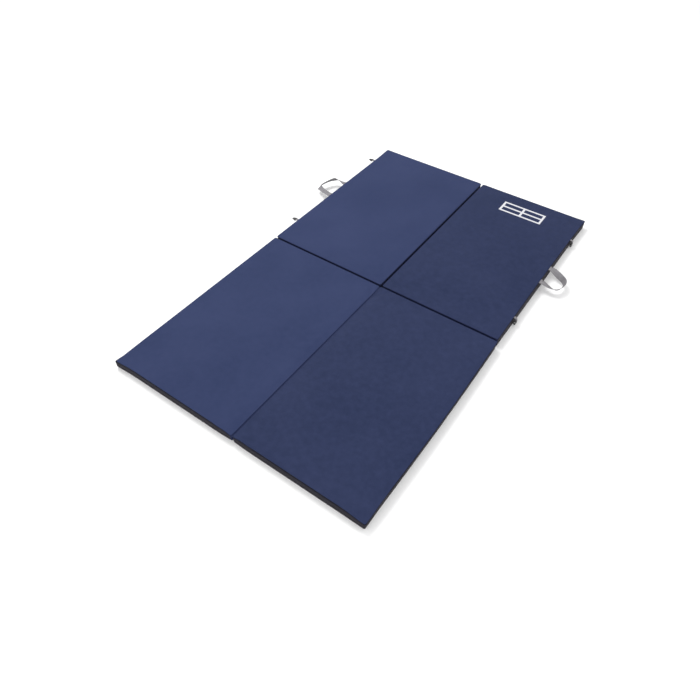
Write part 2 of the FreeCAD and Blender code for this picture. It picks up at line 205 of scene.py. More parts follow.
def weave(nodes, pitch, vector=None, warp=0.3):
    """The height of a plain weave: threads each way, one over and one under."""
    scale = math.pi / (10.0 * pitch)
    across = nodes.bands(scale, "X", vector, warp)
    along = nodes.bands(scale, "Y", vector, warp)
    over = nodes.math("MULTIPLY", across, along)
    under = nodes.math("MULTIPLY", nodes.math("SUBTRACT", 1.0, across), nodes.math("SUBTRACT", 1.0, along))
    return nodes.math("ADD", over, under)


# ---------------------------------------------------------------- materials
def navy_cover():
    """Coated canvas: a fine weave under a soft vinyl skin, with a painted highlight where it bulges and rounds over.
    The right-hand panels carry painted shade, so they look a little darker."""
    n = Nodes("navy_cover")
    threads = weave(n, 0.0011)
    cloud = n.noise(3.2, 4.0, 0.6)
    mottle = n.noise(46.0, 4.0, 0.65)
    grain = n.noise(620.0, 2.0, 0.5)
    color = n.mix(n.remap(cloud, 0.3, 0.7, 0.0, 1.0), (0.024, 0.036, 0.094), (0.034, 0.047, 0.115))
    split = n.add("ShaderNodeSeparateXYZ")
    n.link(n.spot.outputs["Object"], split.inputs[0])
    # Painted shade: the right-hand panels, past the long crease, are mixed 30% towards black.
    right_half_painted_shade = n.remap(split.outputs["X"], LONG_CREASE_X - 0.001, LONG_CREASE_X + 0.001, 0.0, 1.0)
    color = n.mix(right_half_painted_shade, color, n.mix(0.30, color, (0.0, 0.0, 0.0)))
    color = n.mix(n.remap(mottle, 0.35, 0.75, 0.0, 0.35), color, (0.044, 0.056, 0.128))
    color = n.mix(n.remap(threads, 0.2, 1.0, 0.16, 0.0), color, (0.013, 0.018, 0.050))
    # Painted highlight: convex bulges and rounded edges, where pointiness is high, are mixed towards a lighter navy.
    edge = n.add("ShaderNodeNewGeometry").outputs["Pointiness"]
    color = n.mix(n.remap(edge, 0.51, 0.6, 0.0, 0.45), color, (0.066, 0.080, 0.160))
    scuff = n.remap(n.noise(150.0, 5.0, 0.7), 0.62, 0.8, 0.0, 0.25)
    color = n.mix(scuff, color, (0.058, 0.070, 0.14))
    roughness = n.remap(mottle, 0.3, 0.7, 0.50, 0.64)
    normal = n.bump(grain, 0.00025, 0.35)
    normal = n.bump(threads, 0.00030, 0.55, normal)
    normal = n.bump(n.noise(9.0, 3.0, 0.5), 0.0020, 0.35, normal)
    return n.finish(color, roughness, normal, Specular_IOR_Level=0.06)


def dark_weave(name, low, high, pitch, bump_depth):
    """Plain black bag cloth with visible threads and lint, with painted shade in a band just under the seam, bluer in
    the creases.
    """
    n = Nodes(name)
    slope = n.mapped((1.0, 1.0, 1.0), turn=(0.6, 0.5, 0.785))
    threads = weave(n, pitch, slope, 0.2)
    cloud = n.noise(14.0, 4.0, 0.6)
    color = n.mix(n.remap(cloud, 0.3, 0.7, 0.0, 1.0), low, high)
    color = n.mix(n.remap(threads, 0.1, 0.9, 0.45, 0.0), color, tuple(0.4 * c for c in low))
    lint = n.remap(n.noise(900.0, 2.0, 0.6), 0.68, 0.78, 0.0, 0.12)
    color = n.mix(lint, color, (0.11, 0.11, 0.13))
    split = n.add("ShaderNodeSeparateXYZ")
    n.link(n.spot.outputs["Object"], split.inputs[0])
    # Painted shade: from 28 mm up, most from 32 mm, the cloth is darkened towards black, standing in for the shadow
    # under the overhanging cover and piping.
    tuck = n.remap(split.outputs["Z"], 0.028, 0.032, 0.0, 0.85)
    color = n.mix(tuck, color, (0.003, 0.003, 0.009))
    for axis, middle in (("X", LONG_CREASE_X), ("Y", CROSS_CREASE_Y)):
        away = n.math("ABSOLUTE", n.math("SUBTRACT", split.outputs[axis], middle))
        color = n.mix(n.remap(away, 0.006, 0.009, 1.0, 0.0), color, (0.012, 0.018, 0.060))
    roughness = n.remap(cloud, 0.2, 0.8, 0.66, 0.82)
    normal = n.bump(threads, bump_depth, 0.7)
    normal = n.bump(n.noise(60.0, 3.0, 0.5), 0.0010, 0.30, normal)
    return n.finish(color, roughness, normal, Specular_IOR_Level=0.12, Sheen_Weight=0.04, Sheen_Roughness=0.4)


def base_cover():
    """Non-slip underside: black coated cloth with a grid of small raised dots and dusty wear."""
    n = Nodes("base_cover")
    dots = n.voronoi(170.0, spread=0.0)
    raised = n.remap(dots, 0.28, 0.40, 1.0, 0.0)
    cloud = n.noise(7.0, 5.0, 0.65)
    color = n.mix(n.remap(cloud, 0.35, 0.7, 0.0, 1.0), (0.014, 0.014, 0.016), (0.030, 0.030, 0.032))
    color = n.mix(n.math("MULTIPLY", raised, n.remap(cloud, 0.3, 0.7, 0.2, 0.7)), color, (0.050, 0.050, 0.052))
    roughness = n.remap(raised, 0.0, 1.0, 0.72, 0.50)
    normal = n.bump(raised, 0.0006, 0.8)
    normal = n.bump(n.noise(500.0, 2.0, 0.5), 0.0002, 0.5, normal)
    return n.finish(color, roughness, normal, Specular_IOR_Level=0.35)


def webbing():
    """Light grey polyester webbing: ribs of paired yarns in a herringbone, from the strap's own UVs in metres."""
    n = Nodes("webbing")
    flat = n.mapped((1.0, 1.0, 1.0), "UV")
    split = n.add("ShaderNodeSeparateXYZ")
    n.link(flat, split.inputs[0])
    along, across = split.outputs["X"], split.outputs["Y"]
    fold = n.math("PINGPONG", across, 0.0031)
    skew = n.math("ADD", along, fold)
    ribs = n.math("PINGPONG", skew, 0.00062)
    ribs = n.remap(ribs, 0.0, 0.00062, 0.0, 1.0)
    yarns = n.remap(n.math("PINGPONG", across, 0.00052), 0.0, 0.00052, 0.0, 1.0)
    height = n.math("ADD", n.math("MULTIPLY", ribs, 0.7), n.math("MULTIPLY", yarns, 0.3))
    cloud = n.noise(70.0, 4.0, 0.6)
    color = n.mix(n.remap(cloud, 0.3, 0.7, 0.0, 1.0), (0.21, 0.20, 0.215), (0.30, 0.29, 0.305))
    color = n.mix(n.remap(height, 0.1, 0.8, 0.55, 0.0), color, (0.11, 0.11, 0.12))
    fuzz = n.remap(n.noise(1500.0, 2.0, 0.6), 0.6, 0.8, 0.0, 0.25)
    color = n.mix(fuzz, color, (0.42, 0.42, 0.43))
    roughness = n.remap(cloud, 0.2, 0.8, 0.70, 0.85)
    normal = n.bump(height, 0.0005, 0.8)
    return n.finish(color, roughness, normal, Specular_IOR_Level=0.15, Sheen_Weight=0.05, Sheen_Roughness=0.5)


def thread(name, color):
    """Twisted sewing thread."""
    n = Nodes(name)
    twist = n.bands(math.pi / 0.006, "DIAGONAL")
    shade = n.mix(n.remap(twist, 0.0, 1.0, 0.0, 0.6), color, tuple(0.45 * c for c in color))
    roughness = n.remap(n.noise(400.0), 0.3, 0.7, 0.50, 0.70)
    return n.finish(shade, roughness, n.bump(twist, 0.0001, 0.6), Specular_IOR_Level=0.3)


def moulded_plastic():
    """Black acetal with the fine spark texture of its mould and rubbed corners."""
    n = Nodes("moulded_plastic")
    grain = n.noise(1400.0, 2.0, 0.6)
    cloud = n.noise(60.0, 3.0, 0.6)
    color = n.mix(n.remap(cloud, 0.3, 0.7, 0.0, 1.0), (0.010, 0.010, 0.011), (0.018, 0.018, 0.020))
    edge = n.add("ShaderNodeNewGeometry").outputs["Pointiness"]
    color = n.mix(n.remap(edge, 0.54, 0.66, 0.0, 0.6), color, (0.060, 0.060, 0.064))
    roughness = n.remap(grain, 0.3, 0.7, 0.34, 0.52)
    return n.finish(color, roughness, n.bump(grain, 0.00012, 0.5), Specular_IOR_Level=0.5)


def print_ink():
    """White screen print that has sunk into the weave and cracked a little."""
    n = Nodes("print_ink")
    threads = weave(n, 0.0011)
    cracks = n.voronoi(260.0, "DISTANCE_TO_EDGE")
    worn = n.remap(n.noise(120.0, 5.0, 0.7), 0.55, 0.75, 0.0, 0.35)
    color = n.mix(worn, (0.74, 0.74, 0.76), (0.36, 0.38, 0.46))
    color = n.mix(n.remap(cracks, 0.0, 0.05, 0.55, 0.0), color, (0.16, 0.17, 0.24))
    color = n.mix(n.remap(threads, 0.2, 1.0, 0.18, 0.0), color, (0.30, 0.31, 0.38))
    roughness = n.remap(threads, 0.0, 1.0, 0.62, 0.46)
    return n.finish(color, roughness, n.bump(threads, 0.0002, 0.5), Specular_IOR_Level=0.4)


def foam():
    """Closed-cell foam: pale beads pressed together, with cut cells."""
    n = Nodes("foam")
    cells = n.voronoi(240.0, "DISTANCE_TO_EDGE")
    fine = n.voronoi(900.0)
    color = n.mix(n.remap(cells, 0.0, 0.12, 1.0, 0.0), (0.74, 0.74, 0.72), (0.50, 0.50, 0.49))
    color = n.mix(n.remap(n.noise(20.0), 0.3, 0.7, 0.0, 0.5), color, (0.66, 0.66, 0.63))
    roughness = n.remap(fine, 0.0, 0.6, 0.85, 0.95)
    normal = n.bump(cells, 0.0006, 0.7)
    return n.finish(color, roughness, n.bump(fine, 0.0003, 0.6, normal), Specular_IOR_Level=0.2)


def floor_paint():
    n = Nodes("floor_paint")
    cloud = n.noise(1.5, 3.0, 0.5)
    color = n.mix(n.remap(cloud, 0.3, 0.7, 0.0, 1.0), (0.970, 0.970, 0.970), (0.982, 0.982, 0.982))
    roughness = n.remap(n.noise(40.0), 0.3, 0.7, 0.80, 0.88)
    return n.finish(color, roughness, Specular_IOR_Level=0.15)


NAVY = navy_cover()
WALL = dark_weave("wall_cloth", (0.012, 0.010, 0.017), (0.021, 0.018, 0.028), 0.0009, 0.0003)
PIPING = dark_weave("piping_cloth", (0.005, 0.006, 0.014), (0.011, 0.012, 0.024), 0.0006, 0.0002)
BASE = base_cover()
WEBBING = webbing()
DARK_THREAD = thread("dark_thread", (0.045, 0.047, 0.070))
GREY_THREAD = thread("grey_thread", (0.52, 0.52, 0.54))
PLASTIC = moulded_plastic()
INK = print_ink()
FOAM = foam()


def set_world():
    world = bpy.data.worlds.new("studio")
    scene.world = world
    world.use_nodes = True
    background = world.node_tree.nodes["Background"]
    background.inputs["Color"].default_value = (1.0, 1.0, 1.0, 1.0)
    background.inputs["Strength"].default_value = 0.92
    scene.view_settings.view_transform = "Standard"
    scene.view_settings.look = "None"


set_world()

# ---------------------------------------------------------------- mesh helpers
def make_object(name, vertices, faces, material, uvs=None, smooth=True):
    mesh = bpy.data.meshes.new(name)
    mesh.from_pydata([tuple(v) for v in vertices], [], [tuple(f) for f in faces])
    if smooth:
        mesh.polygons.foreach_set("use_smooth", [True] * len(mesh.polygons))
    if uvs is not None:
        layer = mesh.uv_layers.new(name="UVMap")
        loops = np.zeros(len(mesh.loops), int)
        mesh.loops.foreach_get("vertex_index", loops)
        layer.data.foreach_set("uv", np.asarray(uvs, np.float32)[loops].ravel())
    mesh.materials.append(material)
    mesh.update()
    piece = bpy.data.objects.new(name, mesh)
    scene.collection.objects.link(piece)
    return piece


def apply_modifiers(piece):
    """Keep the shape that the piece's modifiers give, and drop them."""
    bpy.context.view_layer.update()
    shown = piece.evaluated_get(bpy.context.evaluated_depsgraph_get())
    mesh = bpy.data.meshes.new_from_object(shown)
    piece.modifiers.clear()
    piece.data = mesh
    return piece


def subdivided(piece, levels=1):
    modifier = piece.modifiers.new("smooth", "SUBSURF")
    modifier.levels = levels
    modifier.render_levels = levels
    return apply_modifiers(piece)


def ease(t):
    t = np.clip(t, 0.0, 1.0)
    return t * t * (3 - 2 * t)


def noise_at(points, scale, seed):
    """Smooth noise from -1 to 1 at each point, the same on every run."""
    shift = Vector((seed * 17.3, seed * 5.1, seed * 9.7))
    return np.array([noise.noise(Vector(p) * scale + shift) for p in points])


class Panel:
    """One padded panel: its rectangle and the places that its pieces take from the CAD nodes."""

    def __init__(self, row, side):
        self.row, self.side = row, side
        self.name = f"{row}_{side}"
        self.body = f"panel_{row}_{side}"
        low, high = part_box(f"{self.body}_bottom_cover")
        self.x0, self.x1, self.y0, self.y1 = low.x, high.x, low.y, high.y
        self.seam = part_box(f"{self.body}_top_cover")[0].z
        self.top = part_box(f"{self.body}_top_cover")[1].z
        self.corner = 5 * MM
        self.seed = 1 + ("near", "far").index(row) * 2 + ("left", "right").index(side)

    def node(self, part):
        return f"{self.body}_{part}"


PANELS = {(row, side): Panel(row, side) for row in ("near", "far") for side in ("left", "right")}


def stations(length, edge, pitch):
    """Distances along one side: close together near both ends, then evenly spaced."""
    near = np.array([0.0, 0.00, 0.03, 0.09, 0.18, 0.30, 0.45, 0.62, 0.81, 1.0])[1:] * edge
    count = max(2, int(round((length - 2 * edge) / pitch)))
    middle = np.linspace(edge, length - edge, count + 1)[1:-1]
    return np.concatenate([near, middle, (length - near)[::-1]])


def grid_faces(nx, ny):
    index = np.arange(nx * ny).reshape(ny, nx)
    a, b, c, d = index[:-1, :-1], index[:-1, 1:], index[1:, 1:], index[1:, :-1]
    return np.stack([a, b, c, d], -1).reshape(-1, 4)


def rounded_grid(panel, inset, corner, edge, pitch):
    """A grid over a panel whose border follows its rounded corners, with each point's distance from the border."""
    x0, x1, y0, y1 = panel.x0 + inset, panel.x1 - inset, panel.y0 + inset, panel.y1 - inset
    xs, ys = stations(x1 - x0, edge, pitch), stations(y1 - y0, edge, pitch)
    gx, gy = np.meshgrid(xs, ys)
    width, length = x1 - x0, y1 - y0
    px, py = gx.copy(), gy.copy()
    from_x, from_y = np.minimum(gx, width - gx), np.minimum(gy, length - gy)
    inside = np.minimum(from_x, from_y)
    at_corner = (from_x < corner) & (from_y < corner)
    a, b = 1 - from_x / corner, 1 - from_y / corner
    round_a, round_b = a * np.sqrt(1 - b * b / 2), b * np.sqrt(1 - a * a / 2)
    new_x, new_y = corner * (1 - round_a), corner * (1 - round_b)
    px = np.where(at_corner, np.where(gx < width / 2, new_x, width - new_x), px)
    py = np.where(at_corner, np.where(gy < length / 2, new_y, length - new_y), py)
    reach = corner - np.hypot(round_a, round_b) * corner
    inside = np.where(at_corner, reach, inside)
    return px + x0, py + y0, np.maximum(inside, 0.0)


def rise(distance, edge, power=2.2):
    """A rounded edge's height from 0 at the border to 1 at edge and beyond."""
    t = np.clip(distance / edge, 0.0, 1.0)
    return (1 - (1 - t) ** power) ** (1 / power)


# ---------------------------------------------------------------- panel pieces
OUTER_EDGE, CREASE_EDGE, STRIP_EDGE = 3.2 * MM, 9.5 * MM, 5.5 * MM
CROWN = 1.3 * MM
# A cover's height is eased from FLAT_FROM below the panel's top, and rises by at most FLAT_ROOM from there.
FLAT_FROM, FLAT_ROOM = 0.3 * MM, 0.35 * MM


def edge_radius(panel, px, py):
    """How far the cover takes to come up to the top from each side: widest at the deep creases."""
    left, right = panel.side == "right", panel.side == "left"
    near, far = panel.row == "far", panel.row == "near"
    long_crease = STRIP_EDGE if panel.row == "near" else CREASE_EDGE
    sides = (
        (px - panel.x0, long_crease if left else OUTER_EDGE),
        (panel.x1 - px, long_crease if right else OUTER_EDGE),
        (py - panel.y0, CREASE_EDGE if near else OUTER_EDGE),
        (panel.y1 - py, CREASE_EDGE if far else OUTER_EDGE),
    )
    total, weight = 0.0, 0.0
    for distance, edge in sides:
        w = 1.0 / (np.maximum(distance, 0) + 0.4 * MM) ** 2
        total, weight = total + w * edge, weight + w
    return total / weight


CREASE_DIP, CORNER_DROP, CORNER_LIFT, CORNER_OUT = 4.0 * MM, 4.0 * MM, 5.0 * MM, 2.5 * MM
CREASE_BACK, EAR_OUT = 2.5 * MM, 8.0 * MM


def crease_dip(y):
    """How far the top is drawn down at the near long crease: more at the mat's near side."""
    start = PANELS["near", "left"].y0
    return CREASE_DIP * (1 + 0.3 * (1 - ease((y - start) / (90 * MM))))


def pillowed(panel, points):
    """Draw the outer corners thin and out, draw the top down at the near long crease, open the deep creases."""
    points = points.copy()
    x, y = points[:, 0].copy(), points[:, 1].copy()
    up = np.clip(points[:, 2] / panel.top, 0, 1)
    side_out, row_out = (-1 if panel.side == "left" else 1), (-1 if panel.row == "near" else 1)
    outer_x = panel.x0 if panel.side == "left" else panel.x1
    inner_x = panel.x1 if panel.side == "left" else panel.x0
    outer_y = panel.y0 if panel.row == "near" else panel.y1
    inner_y = panel.y1 if panel.row == "near" else panel.y0
    corner = 1 - ease(np.hypot(x - outer_x, y - outer_y) / (85 * MM))
    if panel.row == "near":
        points[:, 2] += corner * (CORNER_LIFT * (1 - up) - CORNER_DROP * up)
        front = (1 - ease((y - outer_y) / (70 * MM))) * (1 - ease(np.abs(x - inner_x) / (60 * MM)))
        points[:, 2] += front * CORNER_LIFT * (1 - up)
    if (panel.row, panel.side) == ("near", "left"):
        ear = corner ** 3 * (1 - np.clip((points[:, 2] - panel.seam + CORNER_DROP + 1 * MM) / (2.5 * MM), 0, 1))
        points[:, 0] -= ear * EAR_OUT
        points[:, 1] -= ear * EAR_OUT * 0.3
    points[:, 0] += side_out * corner * CORNER_OUT
    points[:, 1] += row_out * corner * CORNER_OUT
    at_long, at_cross = (1 - ease(np.abs(x - inner_x) / (14 * MM))), (1 - ease(np.abs(y - inner_y) / (14 * MM)))
    points[:, 1] += row_out * at_cross * CREASE_BACK
    if panel.row == "near":
        drawn = (1 - ease((np.abs(x - inner_x) - 3 * MM) / (30 * MM))) * ease((inner_y - y) / (50 * MM))
        points[:, 2] -= drawn * crease_dip(y) * up
    else:
        points[:, 0] += side_out * at_long * CREASE_BACK
    return points


def bulged(panel, points):
    """The foam isn't cut quite true: the near right side swells out and the far right side sits back."""
    points = pillowed(panel, points)
    if panel.side == "left":
        return points
    along = np.clip((points[:, 1] - panel.y0) / (panel.y1 - panel.y0), 0, 1)
    up = np.clip(points[:, 2] / panel.top, 0, 1)
    swell = np.sin(math.pi * along)
    if panel.row == "near":
        out = (-1.5 + 4.5 * swell + up * (1.5 + 2.0 * swell)) * MM
    else:
        out = (-3.0 - up * 2.5 * swell) * MM
    reach = ease((points[:, 0] - (panel.x1 - 60 * MM)) / (60 * MM))
    points[:, 0] += out * reach
    return points


def slumped(panel, points):
    """How far the far left panel's top sinks towards the open far part of the long crease."""
    if (panel.row, panel.side) != ("far", "left"):
        return np.zeros(len(points))
    from_slit = panel.x1 - points[:, 0]
    along = (points[:, 1] - panel.y0) / (panel.y1 - panel.y0)
    return 2.6 * MM * (1 - ease(from_slit / (60 * MM))) * (1 - ease(along / 0.75))


def flattened(panel, height):
    """Ease a cover's height towards the top that the folded panels share, so that they can lie face to face."""
    start = panel.top - FLAT_FROM
    over = np.maximum(height - start, 0)
    return np.minimum(height, start) + FLAT_ROOM * np.tanh(over / FLAT_ROOM)


def make_cover(panel):
    """The navy cover: crowned a little, rounded down to the seam, with small puckers along it."""
    px, py, inside = rounded_grid(panel, 0.0, panel.corner, 10 * MM, 8 * MM)
    points = np.stack([px.ravel(), py.ravel(), np.zeros(px.size)], -1)
    inside = inside.ravel()
    edge = edge_radius(panel, px, py).ravel()
    crown = CROWN * (ease(inside / (110 * MM)) - 0.6)
    broad = noise_at(points, 5.0, panel.seed) * 0.5 * MM
    pucker = noise_at(points, 42.0, panel.seed + 9) * 0.45 * MM
    height = panel.top - panel.seam + crown + broad * ease(inside / (30 * MM))
    dip = slumped(panel, points) * ease(inside / (4 * MM))
    z = panel.seam + (height - dip) * rise(inside, edge)
    z += pucker * ease(inside / (3 * MM)) * (1 - ease((inside - 4 * MM) / (32 * MM)))
    points[:, 2] = flattened(panel, z)
    faces = grid_faces(px.shape[1], px.shape[0])
    return make_object(f"cover_{panel.name}", bulged(panel, points), faces, NAVY)


def perimeter(panel, out, pitch):
    """Points round a panel's rounded outline, moved out, with outward directions. The list is closed."""
    corner = panel.corner
    spots, normals = [], []
    centres = (
        (panel.x1 - corner, panel.y0 + corner, -90),
        (panel.x1 - corner, panel.y1 - corner, 0),
        (panel.x0 + corner, panel.y1 - corner, 90),
        (panel.x0 + corner, panel.y0 + corner, 180),
    )
    arc = 7
    for k, (cx, cy, start) in enumerate(centres):
        angles = np.radians(start + np.linspace(0, 90, arc))
        turn = np.stack([np.cos(angles), np.sin(angles)], -1)
        spots.extend(np.array([cx, cy]) + corner * turn)
        normals.extend(turn)
        nx, ny, nstart = centres[(k + 1) % 4]
        begin = np.array(spots[-1])
        towards = np.array([math.cos(math.radians(nstart)), math.sin(math.radians(nstart))])
        end = np.array([nx, ny]) + corner * towards
        count = max(2, int(np.linalg.norm(end - begin) / pitch))
        for t in np.linspace(0, 1, count + 1)[1:-1]:
            spots.append(begin + (end - begin) * t)
            normals.append(turn[-1])
    spots, normals = np.array(spots), np.array(normals)
    return spots + normals * out, normals


def ring_faces(count, levels):
    index = np.arange(count * levels).reshape(levels, count)
    a, b = index[:-1], np.roll(index[:-1], -1, 1)
    c, d = np.roll(index[1:], -1, 1), index[1:]
    return np.stack([a, b, c, d], -1).reshape(-1, 4)


def make_wall(panel):
    """The black wall: a band of cloth that swells a little between the bottom and the seam."""
    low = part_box(panel.node("side_wall"))[0].z
    spots, normals = perimeter(panel, 0.0, 7 * MM)
    heights = low + (panel.seam - low) * np.array([0, 0.12, 0.27, 0.45, 0.62, 0.76, 0.84, 0.90, 0.95, 0.985, 1.0])
    rings = []
    for z in heights:
        t = (z - low) / (panel.seam - low)
        points = np.column_stack([spots, np.full(len(spots), z)])
        tuck = 1.3 * MM * float(ease((t - 0.78) / 0.2)) * (1 - float(ease((t - 0.985) / 0.015)))
        arch = math.sin(math.pi * t)
        swell = -tuck + 0.30 * MM * arch + noise_at(points, 55.0, panel.seed + 20) * 0.3 * MM * arch
        points[:, :2] += normals * swell[:, None]
        rings.append(bulged(panel, points))
    return make_object(f"wall_{panel.name}", np.concatenate(rings), ring_faces(len(spots), len(heights)), WALL)


def tube_round(points, normals, radius, around=8):
    """A closed tube that follows a level closed line of points."""
    rings = []
    for k in range(around):
        angle = 2 * math.pi * k / around
        ring = points.copy()
        ring[:, :2] += normals * (radius * math.cos(angle))
        ring[:, 2] += radius * math.sin(angle)
        rings.append(ring)
    rings.append(rings[0])
    stacked = np.concatenate(rings[:-1])
    faces = ring_faces(len(points), around + 1) % len(stacked)
    return stacked, faces


def make_piping(panel):
    """A thin covered cord all round, set half into the seam."""
    spots, normals = perimeter(panel, 0.05 * MM, 5 * MM)
    points = np.column_stack([spots, np.full(len(spots), panel.seam)])
    wander = noise_at(points, 30.0, panel.seed + 40) * 0.18 * MM
    points[:, 2] += wander
    vertices, faces = tube_round(bulged(panel, points), normals, 0.9 * MM)
    return make_object(f"piping_{panel.name}", vertices, faces, PIPING)


def make_base(panel):
    """The underside: a flat non-slip sheet turned up at its rim."""
    px, py, inside = rounded_grid(panel, 0.0, panel.corner, 6 * MM, 45 * MM)
    z = 1.0 * MM * (1 - rise(inside, 1.6 * MM))
    points = np.stack([px.ravel(), py.ravel(), z.ravel()], -1)
    faces = grid_faces(px.shape[1], px.shape[0])[:, ::-1]
    return make_object(f"base_{panel.name}", bulged(panel, points), faces, BASE)


def make_foam(panel):
    """The closed foam slab inside, softened along its edges."""
    inset = 1.3 * MM
    corner = panel.corner - inset
    px, py, inside = rounded_grid(panel, inset, corner, 8 * MM, 45 * MM)
    low, high = 1.2 * MM, panel.top - 3.6 * MM
    middle = (low + high) / 2
    up = rise(inside, 4 * MM)
    shape = px.shape
    upper = np.stack([px.ravel(), py.ravel(), (middle + (high - middle) * up).ravel()], -1)
    lower = np.stack([px.ravel(), py.ravel(), (middle - (middle - low) * rise(inside, 2 * MM)).ravel()], -1)
    faces = grid_faces(shape[1], shape[0])
    border = np.zeros(shape, bool)
    border[0], border[-1], border[:, 0], border[:, -1] = True, True, True, True
    index = np.where(border.ravel(), np.arange(px.size), np.arange(px.size) + px.size)
    vertices = np.concatenate([upper, lower])
    used = np.unique(np.concatenate([faces.ravel(), index[faces].ravel()]))
    renumber = np.full(len(vertices), -1)
    renumber[used] = np.arange(len(used))
    both = renumber[np.concatenate([faces, index[faces][:, ::-1]])]
    return make_object(f"foam_{panel.name}", bulged(panel, vertices[used]), both, FOAM)


def stitches(name, starts, ends, radius, material):
    """Sewing stitches, each a short thread with tucked-in ends, as one mesh."""
    along = ends - starts
    length = np.linalg.norm(along, axis=1, keepdims=True)
    direction = along / length
    side = np.cross(direction, [0.0, 0.0, 1.0])
    small = np.linalg.norm(side, axis=1) < 1e-6
    side[small] = [1.0, 0.0, 0.0]
    side /= np.linalg.norm(side, axis=1, keepdims=True)
    up = np.cross(side, direction)
    sections = ((0.0, 0.25), (0.12, 0.85), (0.5, 1.0), (0.88, 0.85), (1.0, 0.25))
    around = 6
    vertices, faces = [], []
    for t, swell in sections:
        for k in range(around):
            angle = 2 * math.pi * k / around
            offset = side * math.cos(angle) + up * math.sin(angle)
            vertices.append(starts + along * t + offset * radius * swell)
    stack = np.stack(vertices, 1)
    count = len(sections) * around
    pattern = ring_faces(around, len(sections))
    faces = (pattern[None] + (np.arange(len(starts)) * count)[:, None, None]).reshape(-1, 4)
    return make_object(name, stack.reshape(-1, 3), faces, material)


def make_wall_stitching(panel):
    """One row of thread round the wall, just under the piping."""
    spots, _ = perimeter(panel, 0.25 * MM, 4.4 * MM)
    points = bulged(panel, np.column_stack([spots, np.full(len(spots), panel.seam - 2.4 * MM)]))
    following = np.roll(points, -1, 0)
    ends = points + (following - points) * 0.68
    return stitches(f"stitching_{panel.name}", points, ends, 0.26 * MM, DARK_THREAD)


def puff(cover, panel):
    """Blow the cover up a little from inside with a cloth simulation, held at its seam, and cap how far it moves."""
    mesh = cover.data
    before = np.array([v.co for v in mesh.vertices])
    low, high = before.min(0), before.max(0)
    border = np.minimum.reduce([
        before[:, 0] - low[0], high[0] - before[:, 0], before[:, 1] - low[1], high[1] - before[:, 1],
    ])
    group = cover.vertex_groups.new(name="held")
    for index in np.flatnonzero(border < 1.2 * MM):
        group.add([int(index)], 1.0, "REPLACE")
    cloth = cover.modifiers.new("cloth", "CLOTH")
    settings = cloth.settings
    settings.quality = 5
    settings.mass = 0.35
    settings.tension_stiffness = 18
    settings.compression_stiffness = 18
    settings.shear_stiffness = 8
    settings.bending_stiffness = 0.8
    settings.use_pressure = True
    settings.uniform_pressure_force = 4.0
    settings.shrink_min = -0.006
    settings.vertex_group_mass = "held"
    settings.effector_weights.gravity = 0.0
    cloth.collision_settings.use_collision = False
    cloth.collision_settings.use_self_collision = False
    scene.frame_start, scene.frame_end = 1, 20
    cloth.point_cache.frame_start, cloth.point_cache.frame_end = 1, 20
    for step in range(1, 15):
        scene.frame_set(step)
    shown = cover.evaluated_get(bpy.context.evaluated_depsgraph_get())
    after = np.array([v.co for v in shown.data.vertices])
    cover.modifiers.clear()
    cover.vertex_groups.clear()
    scene.frame_set(1)
    move = after - before
    move[:, :2] = np.clip(move[:, :2], -0.4 * MM, 0.4 * MM)
    lift = move[:, 2]
    move[:, 2] = 1.6 * MM * np.tanh(lift / (1.6 * MM)) - 0.8 * MM * ease(border / (40 * MM))
    after = before + move
    after[:, 2] = flattened(panel, after[:, 2])
    mesh.vertices.foreach_set("co", after.astype(np.float32).ravel())
    mesh.update()


covers = {}
for key, panel in PANELS.items():
    cover = make_cover(panel)
    puff(cover, panel)
    subdivided(cover)
    covers[key] = cover
    parts = (
        (cover, "top_cover", "navy_cover"),
        (subdivided(make_wall(panel)), "side_wall", "black_wall"),
        (make_piping(panel), "piping", "piping"),
        (make_base(panel), "bottom_cover", "black_base"),
        (make_foam(panel), "foam", "foam"),
    )
    for piece, part, slot in parts:
        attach(piece, panel.body)
        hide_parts(panel.node(part))
    stitching = make_wall_stitching(panel)
    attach(stitching, panel.body)

# ---------------------------------------------------------------- hinge strips
def make_valley():
    """The cover's own cloth, carried across the near part of the long crease in a shallow valley."""
    low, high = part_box("hinge_strip_near")
    middle = (low.x + high.x) / 2
    top = PANELS["near", "left"].top
    half = 5.4 * MM
    across = np.linspace(-1, 1, 15) * half
    along = np.arange(low.y - 3 * MM, high.y + 1 * MM, 3 * MM)
    gx, gy = np.meshgrid(across, along)
    points = np.stack([gx.ravel() + middle, gy.ravel(), np.zeros(gx.size)], -1)
    depth = 3.6 * MM
    sink = depth * (1 - (np.abs(gx.ravel()) / half) ** 1.5)
    drawn = ease((PANELS["near", "left"].y1 - gy.ravel()) / (50 * MM))
    pucker = noise_at(points, 60.0, 61) * 0.35 * MM + noise_at(points, 14.0, 62) * 0.3 * MM
    points[:, 2] = top - 0.45 * MM - drawn * crease_dip(gy.ravel()) - sink + pucker * ease(sink / depth)
    strip = make_object("valley_near", points, grid_faces(len(across), len(along)), NAVY)
    thick = strip.modifiers.new("thick", "SOLIDIFY")
    thick.thickness = 0.6 * MM
    thick.offset = -1
    return apply_modifiers(strip), middle


valley, long_x = make_valley()
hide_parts("hinge_strip_near")
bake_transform(valley)


